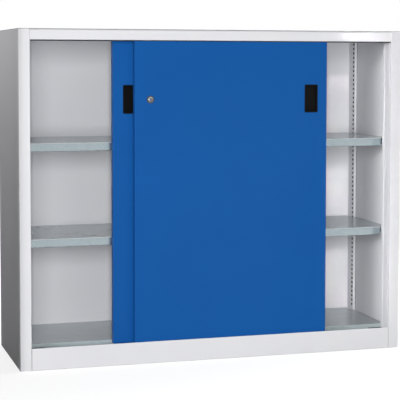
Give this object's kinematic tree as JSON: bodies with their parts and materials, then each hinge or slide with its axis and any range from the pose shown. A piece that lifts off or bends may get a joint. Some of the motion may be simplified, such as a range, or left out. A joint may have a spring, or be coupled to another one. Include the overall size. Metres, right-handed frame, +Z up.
{
  "type": "sliding door cabinet",
  "caption": "Low steel cabinet on a plinth with overlapping sliding doors, recessed grips, a push lock and galvanised shelves on perforated posts.",
  "frame": {"origin": "on the floor under the middle of the cabinet", "axes": "+X to the right seen from the front, +Y to the back, +Z up; the doors face -Y"},
  "size_m": [1.2, 0.4, 1],
  "materials": {
    "carcass_paint": "light grey powder coat with a fine texture, satin",
    "door_paint": "blue powder coat with a fine texture, satin",
    "galvanised": "hot-dip galvanised sheet with a faint spangle, semi-matte",
    "zinc_plated": "bright zinc plating",
    "lock_chrome": "chrome plate with a turned face",
    "grip_plastic": "black moulded plastic, fine grain",
    "guide_nylon": "off-white nylon",
    "stop_rubber": "black rubber"
  },
  "bodies": {
    "carcass": {"top_panel": "carcass_paint", "top_rail": "carcass_paint", "back_panel": "carcass_paint", "plinth": "carcass_paint", "base_panel": "carcass_paint", "bottom_track": "galvanised", "top_track": "galvanised", "bottom_shelf": "galvanised", "lower_shelf": "galvanised", "upper_shelf": "galvanised", "lower_shelf_stiffener": "galvanised", "upper_shelf_stiffener": "galvanised", "left_side_panel": "carcass_paint", "front_track_left_stop": "stop_rubber", "rear_track_left_stop": "stop_rubber", "front_left_post": "carcass_paint", "lower_shelf_front_left_clip": "zinc_plated", "upper_shelf_front_left_clip": "zinc_plated", "rear_left_post": "carcass_paint", "lower_shelf_rear_left_clip": "zinc_plated", "upper_shelf_rear_left_clip": "zinc_plated", "right_side_panel": "carcass_paint", "front_track_right_stop": "stop_rubber", "rear_track_right_stop": "stop_rubber", "front_right_post": "carcass_paint", "lower_shelf_front_right_clip": "zinc_plated", "upper_shelf_front_right_clip": "zinc_plated", "rear_right_post": "carcass_paint", "lower_shelf_rear_right_clip": "zinc_plated", "upper_shelf_rear_right_clip": "zinc_plated"},
    "front_door": {"front_door": "door_paint", "front_door_stiffener": "door_paint", "front_door_grip": "grip_plastic", "front_door_left_roller_bracket": "zinc_plated", "front_door_left_roller_axle": "zinc_plated", "front_door_left_top_guide": "guide_nylon", "front_door_right_roller_bracket": "zinc_plated", "front_door_right_roller_axle": "zinc_plated", "front_door_right_top_guide": "guide_nylon", "lock_housing": "lock_chrome", "lock_nut": "zinc_plated"},
    "rear_door": {"rear_door": "door_paint", "rear_door_stiffener": "door_paint", "rear_door_grip": "grip_plastic", "rear_door_left_roller_bracket": "zinc_plated", "rear_door_left_roller_axle": "zinc_plated", "rear_door_left_top_guide": "guide_nylon", "rear_door_right_roller_bracket": "zinc_plated", "rear_door_right_roller_axle": "zinc_plated", "rear_door_right_top_guide": "guide_nylon", "keeper_plate": "zinc_plated"},
    "front_door_left_roller": {"front_door_left_roller": "guide_nylon"},
    "front_door_right_roller": {"front_door_right_roller": "guide_nylon"},
    "rear_door_left_roller": {"rear_door_left_roller": "guide_nylon"},
    "rear_door_right_roller": {"rear_door_right_roller": "guide_nylon"},
    "lock_cylinder": {"lock_cylinder": "lock_chrome"},
    "lock_core": {"lock_core": "lock_chrome"}
  },
  "joints": [
    {"name": "front_door_slide", "type": "slide", "parent": "carcass", "child": "front_door", "axis": [1, 0, 0], "range_m": [-0.3115, 0.2115]},
    {"name": "rear_door_slide", "type": "slide", "parent": "carcass", "child": "rear_door", "axis": [1, 0, 0], "range_m": [-0.252, 0.271]},
    {"name": "lock_push", "type": "slide", "parent": "front_door", "child": "lock_cylinder", "axis": [0, 1, 0], "range_m": [0, 0.0055], "stiffness_N_per_m": 600},
    {"name": "lock_key_turn", "type": "hinge", "parent": "lock_cylinder", "child": "lock_core", "pos_m": [-0.2075, -0.19, 0.792], "axis": [0, 1, 0], "range_deg": [0, 90]},
    {"name": "front_door_left_roller_spin", "type": "hinge", "parent": "front_door", "child": "front_door_left_roller", "pos_m": [-0.195, -0.1805, 0.0568], "axis": [0, 1, 0], "continuous": true},
    {"name": "front_door_right_roller_spin", "type": "hinge", "parent": "front_door", "child": "front_door_right_roller", "pos_m": [0.295, -0.1805, 0.0568], "axis": [0, 1, 0], "continuous": true},
    {"name": "rear_door_left_roller_spin", "type": "hinge", "parent": "rear_door", "child": "rear_door_left_roller", "pos_m": [-0.2545, -0.1505, 0.0568], "axis": [0, 1, 0], "continuous": true},
    {"name": "rear_door_right_roller_spin", "type": "hinge", "parent": "rear_door", "child": "rear_door_right_roller", "pos_m": [0.2355, -0.1505, 0.0568], "axis": [0, 1, 0], "continuous": true}
  ],
  "couplings": [
    {"joint": "front_door_left_roller_spin", "follows": "front_door_slide", "rad_per_m": 125},
    {"joint": "front_door_right_roller_spin", "follows": "front_door_slide", "rad_per_m": 125},
    {"joint": "rear_door_left_roller_spin", "follows": "rear_door_slide", "rad_per_m": 125},
    {"joint": "rear_door_right_roller_spin", "follows": "rear_door_slide", "rad_per_m": 125}
  ]
}
